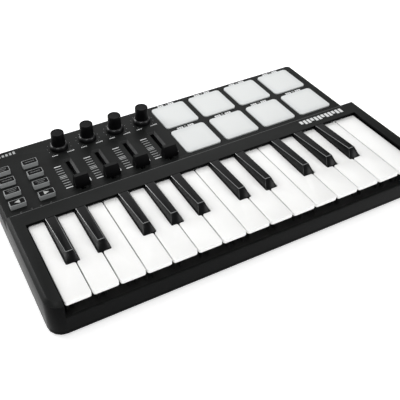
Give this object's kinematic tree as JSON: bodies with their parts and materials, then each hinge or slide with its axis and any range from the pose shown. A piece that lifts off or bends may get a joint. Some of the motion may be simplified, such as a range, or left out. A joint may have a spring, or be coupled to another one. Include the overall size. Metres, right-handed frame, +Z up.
{
  "type": "midi keyboard",
  "caption": "Compact music keyboard controller with mini keys, and knobs, faders, square pads and buttons on a lower rear panel.",
  "frame": {"origin": "on the table, under the middle of the case's length and depth", "axes": "+X along the keys from low to high notes, +Y from the player to the rear, +Z up"},
  "size_m": [0.3246, 0.1904, 0.0389],
  "materials": {
    "case_plastic": "fine texture",
    "white_key_plastic": "satin gloss",
    "black_key_plastic": "satin gloss",
    "knob_plastic": "satin",
    "pad_rubber": "satin, translucent",
    "button_rubber": "matt",
    "frame_plastic": "matt",
    "board_laminate": "solder mask",
    "contact_rubber": "matt",
    "steel": "drawn",
    "socket_metal": "plated",
    "socket_plastic": "matt",
    "foot_rubber": "matt",
    "panel_print": "printed ink",
    "indicator_lens": "smoky lens"
  },
  "bodies": {
    "case": {"top_cover": "case_plastic", "bottom_cover": "case_plastic", "key_frame": "frame_plastic", "key_pivot_rod": "steel", "key_contact_board": "board_laminate", "key_contact_strip": "contact_rubber", "control_board": "board_laminate", "usb_socket": "socket_metal", "pedal_socket": "socket_plastic", "foot_strip_front": "foot_rubber", "foot_strip_rear": "foot_rubber"},
    "key_white_c1_body": {"key_white_c1": "white_key_plastic"},
    "key_black_c_sharp1_body": {"key_black_c_sharp1": "black_key_plastic"},
    "key_white_d1_body": {"key_white_d1": "white_key_plastic"},
    "key_black_d_sharp1_body": {"key_black_d_sharp1": "black_key_plastic"},
    "key_white_e1_body": {"key_white_e1": "white_key_plastic"},
    "key_white_f1_body": {"key_white_f1": "white_key_plastic"},
    "key_black_f_sharp1_body": {"key_black_f_sharp1": "black_key_plastic"},
    "key_white_g1_body": {"key_white_g1": "white_key_plastic"},
    "key_black_g_sharp1_body": {"key_black_g_sharp1": "black_key_plastic"},
    "key_white_a1_body": {"key_white_a1": "white_key_plastic"},
    "key_black_a_sharp1_body": {"key_black_a_sharp1": "black_key_plastic"},
    "key_white_b1_body": {"key_white_b1": "white_key_plastic"},
    "key_white_c2_body": {"key_white_c2": "white_key_plastic"},
    "key_black_c_sharp2_body": {"key_black_c_sharp2": "black_key_plastic"},
    "key_white_d2_body": {"key_white_d2": "white_key_plastic"},
    "key_black_d_sharp2_body": {"key_black_d_sharp2": "black_key_plastic"},
    "key_white_e2_body": {"key_white_e2": "white_key_plastic"},
    "key_white_f2_body": {"key_white_f2": "white_key_plastic"},
    "key_black_f_sharp2_body": {"key_black_f_sharp2": "black_key_plastic"},
    "key_white_g2_body": {"key_white_g2": "white_key_plastic"},
    "key_black_g_sharp2_body": {"key_black_g_sharp2": "black_key_plastic"},
    "key_white_a2_body": {"key_white_a2": "white_key_plastic"},
    "key_black_a_sharp2_body": {"key_black_a_sharp2": "black_key_plastic"},
    "key_white_b2_body": {"key_white_b2": "white_key_plastic"},
    "key_white_c3_body": {"key_white_c3": "white_key_plastic"},
    "knob_1_body": {"knob_1": "knob_plastic"},
    "knob_2_body": {"knob_2": "knob_plastic"},
    "knob_3_body": {"knob_3": "knob_plastic"},
    "knob_4_body": {"knob_4": "knob_plastic"},
    "fader_cap_1_body": {"fader_cap_1": "knob_plastic"},
    "fader_cap_2_body": {"fader_cap_2": "knob_plastic"},
    "fader_cap_3_body": {"fader_cap_3": "knob_plastic"},
    "fader_cap_4_body": {"fader_cap_4": "knob_plastic"},
    "pad_1_body": {"pad_1": "pad_rubber"},
    "pad_2_body": {"pad_2": "pad_rubber"},
    "pad_3_body": {"pad_3": "pad_rubber"},
    "pad_4_body": {"pad_4": "pad_rubber"},
    "pad_5_body": {"pad_5": "pad_rubber"},
    "pad_6_body": {"pad_6": "pad_rubber"},
    "pad_7_body": {"pad_7": "pad_rubber"},
    "pad_8_body": {"pad_8": "pad_rubber"},
    "button_1_body": {"button_1": "button_rubber"},
    "button_2_body": {"button_2": "button_rubber"},
    "button_3_body": {"button_3": "button_rubber"},
    "button_4_body": {"button_4": "button_rubber"},
    "button_5_body": {"button_5": "button_rubber"},
    "button_6_body": {"button_6": "button_rubber"},
    "button_7_body": {"button_7": "button_rubber"},
    "button_8_body": {"button_8": "button_rubber"}
  },
  "joints": [
    {"name": "press_white_c1", "type": "hinge", "parent": "case", "child": "key_white_c1_body", "pos_m": [-0.14343, -0.0088, 0.0255], "axis": [1, 0, 0], "range_deg": [0, 2.6], "stiffness_Nm_per_rad": 0.6, "springref_deg": -3.44},
    {"name": "press_black_c_sharp1", "type": "hinge", "parent": "case", "child": "key_black_c_sharp1_body", "pos_m": [-0.132, -0.0088, 0.0255], "axis": [1, 0, 0], "range_deg": [0, 2.6], "stiffness_Nm_per_rad": 0.6, "springref_deg": -3.44},
    {"name": "press_white_d1", "type": "hinge", "parent": "case", "child": "key_white_d1_body", "pos_m": [-0.12, -0.0088, 0.0255], "axis": [1, 0, 0], "range_deg": [0, 2.6], "stiffness_Nm_per_rad": 0.6, "springref_deg": -3.44},
    {"name": "press_black_d_sharp1", "type": "hinge", "parent": "case", "child": "key_black_d_sharp1_body", "pos_m": [-0.108, -0.0088, 0.0255], "axis": [1, 0, 0], "range_deg": [0, 2.6], "stiffness_Nm_per_rad": 0.6, "springref_deg": -3.44},
    {"name": "press_white_e1", "type": "hinge", "parent": "case", "child": "key_white_e1_body", "pos_m": [-0.09658, -0.0088, 0.0255], "axis": [1, 0, 0], "range_deg": [0, 2.6], "stiffness_Nm_per_rad": 0.6, "springref_deg": -3.44},
    {"name": "press_white_f1", "type": "hinge", "parent": "case", "child": "key_white_f1_body", "pos_m": [-0.08378, -0.0088, 0.0255], "axis": [1, 0, 0], "range_deg": [0, 2.6], "stiffness_Nm_per_rad": 0.6, "springref_deg": -3.44},
    {"name": "press_black_f_sharp1", "type": "hinge", "parent": "case", "child": "key_black_f_sharp1_body", "pos_m": [-0.0727, -0.0088, 0.0255], "axis": [1, 0, 0], "range_deg": [0, 2.6], "stiffness_Nm_per_rad": 0.6, "springref_deg": -3.44},
    {"name": "press_white_g1", "type": "hinge", "parent": "case", "child": "key_white_g1_body", "pos_m": [-0.06135, -0.0088, 0.0255], "axis": [1, 0, 0], "range_deg": [0, 2.6], "stiffness_Nm_per_rad": 0.6, "springref_deg": -3.44},
    {"name": "press_black_g_sharp1", "type": "hinge", "parent": "case", "child": "key_black_g_sharp1_body", "pos_m": [-0.05, -0.0088, 0.0255], "axis": [1, 0, 0], "range_deg": [0, 2.6], "stiffness_Nm_per_rad": 0.6, "springref_deg": -3.44},
    {"name": "press_white_a1", "type": "hinge", "parent": "case", "child": "key_white_a1_body", "pos_m": [-0.0387, -0.0088, 0.0255], "axis": [1, 0, 0], "range_deg": [0, 2.6], "stiffness_Nm_per_rad": 0.6, "springref_deg": -3.44},
    {"name": "press_black_a_sharp1", "type": "hinge", "parent": "case", "child": "key_black_a_sharp1_body", "pos_m": [-0.0274, -0.0088, 0.0255], "axis": [1, 0, 0], "range_deg": [0, 2.6], "stiffness_Nm_per_rad": 0.6, "springref_deg": -3.44},
    {"name": "press_white_b1", "type": "hinge", "parent": "case", "child": "key_white_b1_body", "pos_m": [-0.01627, -0.0088, 0.0255], "axis": [1, 0, 0], "range_deg": [0, 2.6], "stiffness_Nm_per_rad": 0.6, "springref_deg": -3.44},
    {"name": "press_white_c2", "type": "hinge", "parent": "case", "child": "key_white_c2_body", "pos_m": [-0.00342, -0.0088, 0.0255], "axis": [1, 0, 0], "range_deg": [0, 2.6], "stiffness_Nm_per_rad": 0.6, "springref_deg": -3.44},
    {"name": "press_black_c_sharp2", "type": "hinge", "parent": "case", "child": "key_black_c_sharp2_body", "pos_m": [0.008, -0.0088, 0.0255], "axis": [1, 0, 0], "range_deg": [0, 2.6], "stiffness_Nm_per_rad": 0.6, "springref_deg": -3.44},
    {"name": "press_white_d2", "type": "hinge", "parent": "case", "child": "key_white_d2_body", "pos_m": [0.02, -0.0088, 0.0255], "axis": [1, 0, 0], "range_deg": [0, 2.6], "stiffness_Nm_per_rad": 0.6, "springref_deg": -3.44},
    {"name": "press_black_d_sharp2", "type": "hinge", "parent": "case", "child": "key_black_d_sharp2_body", "pos_m": [0.032, -0.0088, 0.0255], "axis": [1, 0, 0], "range_deg": [0, 2.6], "stiffness_Nm_per_rad": 0.6, "springref_deg": -3.44},
    {"name": "press_white_e2", "type": "hinge", "parent": "case", "child": "key_white_e2_body", "pos_m": [0.04342, -0.0088, 0.0255], "axis": [1, 0, 0], "range_deg": [0, 2.6], "stiffness_Nm_per_rad": 0.6, "springref_deg": -3.44},
    {"name": "press_white_f2", "type": "hinge", "parent": "case", "child": "key_white_f2_body", "pos_m": [0.05622, -0.0088, 0.0255], "axis": [1, 0, 0], "range_deg": [0, 2.6], "stiffness_Nm_per_rad": 0.6, "springref_deg": -3.44},
    {"name": "press_black_f_sharp2", "type": "hinge", "parent": "case", "child": "key_black_f_sharp2_body", "pos_m": [0.0673, -0.0088, 0.0255], "axis": [1, 0, 0], "range_deg": [0, 2.6], "stiffness_Nm_per_rad": 0.6, "springref_deg": -3.44},
    {"name": "press_white_g2", "type": "hinge", "parent": "case", "child": "key_white_g2_body", "pos_m": [0.07865, -0.0088, 0.0255], "axis": [1, 0, 0], "range_deg": [0, 2.6], "stiffness_Nm_per_rad": 0.6, "springref_deg": -3.44},
    {"name": "press_black_g_sharp2", "type": "hinge", "parent": "case", "child": "key_black_g_sharp2_body", "pos_m": [0.09, -0.0088, 0.0255], "axis": [1, 0, 0], "range_deg": [0, 2.6], "stiffness_Nm_per_rad": 0.6, "springref_deg": -3.44},
    {"name": "press_white_a2", "type": "hinge", "parent": "case", "child": "key_white_a2_body", "pos_m": [0.1013, -0.0088, 0.0255], "axis": [1, 0, 0], "range_deg": [0, 2.6], "stiffness_Nm_per_rad": 0.6, "springref_deg": -3.44},
    {"name": "press_black_a_sharp2", "type": "hinge", "parent": "case", "child": "key_black_a_sharp2_body", "pos_m": [0.1126, -0.0088, 0.0255], "axis": [1, 0, 0], "range_deg": [0, 2.6], "stiffness_Nm_per_rad": 0.6, "springref_deg": -3.44},
    {"name": "press_white_b2", "type": "hinge", "parent": "case", "child": "key_white_b2_body", "pos_m": [0.12372, -0.0088, 0.0255], "axis": [1, 0, 0], "range_deg": [0, 2.6], "stiffness_Nm_per_rad": 0.6, "springref_deg": -3.44},
    {"name": "press_white_c3", "type": "hinge", "parent": "case", "child": "key_white_c3_body", "pos_m": [0.14, -0.0088, 0.0255], "axis": [1, 0, 0], "range_deg": [0, 2.6], "stiffness_Nm_per_rad": 0.6, "springref_deg": -3.44},
    {"name": "turn_knob_1", "type": "hinge", "parent": "case", "child": "knob_1_body", "pos_m": [-0.093, 0.0762, 0.0229], "axis": [0, 0, -1], "range_deg": [-135, 135]},
    {"name": "turn_knob_2", "type": "hinge", "parent": "case", "child": "knob_2_body", "pos_m": [-0.0663, 0.0762, 0.0229], "axis": [0, 0, -1], "range_deg": [-135, 135]},
    {"name": "turn_knob_3", "type": "hinge", "parent": "case", "child": "knob_3_body", "pos_m": [-0.0396, 0.0762, 0.0229], "axis": [0, 0, -1], "range_deg": [-135, 135]},
    {"name": "turn_knob_4", "type": "hinge", "parent": "case", "child": "knob_4_body", "pos_m": [-0.0129, 0.0762, 0.0229], "axis": [0, 0, -1], "range_deg": [-135, 135]},
    {"name": "slide_fader_1", "type": "slide", "parent": "case", "child": "fader_cap_1_body", "axis": [0, 1, 0], "range_m": [0, 0.03]},
    {"name": "slide_fader_2", "type": "slide", "parent": "case", "child": "fader_cap_2_body", "axis": [0, 1, 0], "range_m": [0, 0.03]},
    {"name": "slide_fader_3", "type": "slide", "parent": "case", "child": "fader_cap_3_body", "axis": [0, 1, 0], "range_m": [0, 0.03]},
    {"name": "slide_fader_4", "type": "slide", "parent": "case", "child": "fader_cap_4_body", "axis": [0, 1, 0], "range_m": [0, 0.03]},
    {"name": "press_pad_1", "type": "slide", "parent": "case", "child": "pad_1_body", "axis": [0, 0, -1], "range_m": [0, 0.0006], "stiffness_N_per_m": 6000, "springref_m": -0.0003},
    {"name": "press_pad_2", "type": "slide", "parent": "case", "child": "pad_2_body", "axis": [0, 0, -1], "range_m": [0, 0.0006], "stiffness_N_per_m": 6000, "springref_m": -0.0003},
    {"name": "press_pad_3", "type": "slide", "parent": "case", "child": "pad_3_body", "axis": [0, 0, -1], "range_m": [0, 0.0006], "stiffness_N_per_m": 6000, "springref_m": -0.0003},
    {"name": "press_pad_4", "type": "slide", "parent": "case", "child": "pad_4_body", "axis": [0, 0, -1], "range_m": [0, 0.0006], "stiffness_N_per_m": 6000, "springref_m": -0.0003},
    {"name": "press_pad_5", "type": "slide", "parent": "case", "child": "pad_5_body", "axis": [0, 0, -1], "range_m": [0, 0.0006], "stiffness_N_per_m": 6000, "springref_m": -0.0003},
    {"name": "press_pad_6", "type": "slide", "parent": "case", "child": "pad_6_body", "axis": [0, 0, -1], "range_m": [0, 0.0006], "stiffness_N_per_m": 6000, "springref_m": -0.0003},
    {"name": "press_pad_7", "type": "slide", "parent": "case", "child": "pad_7_body", "axis": [0, 0, -1], "range_m": [0, 0.0006], "stiffness_N_per_m": 6000, "springref_m": -0.0003},
    {"name": "press_pad_8", "type": "slide", "parent": "case", "child": "pad_8_body", "axis": [0, 0, -1], "range_m": [0, 0.0006], "stiffness_N_per_m": 6000, "springref_m": -0.0003},
    {"name": "press_button_1", "type": "slide", "parent": "case", "child": "button_1_body", "axis": [0, 0, -1], "range_m": [0, 0.0008], "stiffness_N_per_m": 1500, "springref_m": -0.0005},
    {"name": "press_button_2", "type": "slide", "parent": "case", "child": "button_2_body", "axis": [0, 0, -1], "range_m": [0, 0.0008], "stiffness_N_per_m": 1500, "springref_m": -0.0005},
    {"name": "press_button_3", "type": "slide", "parent": "case", "child": "button_3_body", "axis": [0, 0, -1], "range_m": [0, 0.0008], "stiffness_N_per_m": 1500, "springref_m": -0.0005},
    {"name": "press_button_4", "type": "slide", "parent": "case", "child": "button_4_body", "axis": [0, 0, -1], "range_m": [0, 0.0008], "stiffness_N_per_m": 1500, "springref_m": -0.0005},
    {"name": "press_button_5", "type": "slide", "parent": "case", "child": "button_5_body", "axis": [0, 0, -1], "range_m": [0, 0.0008], "stiffness_N_per_m": 1500, "springref_m": -0.0005},
    {"name": "press_button_6", "type": "slide", "parent": "case", "child": "button_6_body", "axis": [0, 0, -1], "range_m": [0, 0.0008], "stiffness_N_per_m": 1500, "springref_m": -0.0005},
    {"name": "press_button_7", "type": "slide", "parent": "case", "child": "button_7_body", "axis": [0, 0, -1], "range_m": [0, 0.0008], "stiffness_N_per_m": 1500, "springref_m": -0.0005},
    {"name": "press_button_8", "type": "slide", "parent": "case", "child": "button_8_body", "axis": [0, 0, -1], "range_m": [0, 0.0008], "stiffness_N_per_m": 1500, "springref_m": -0.0005}
  ]
}
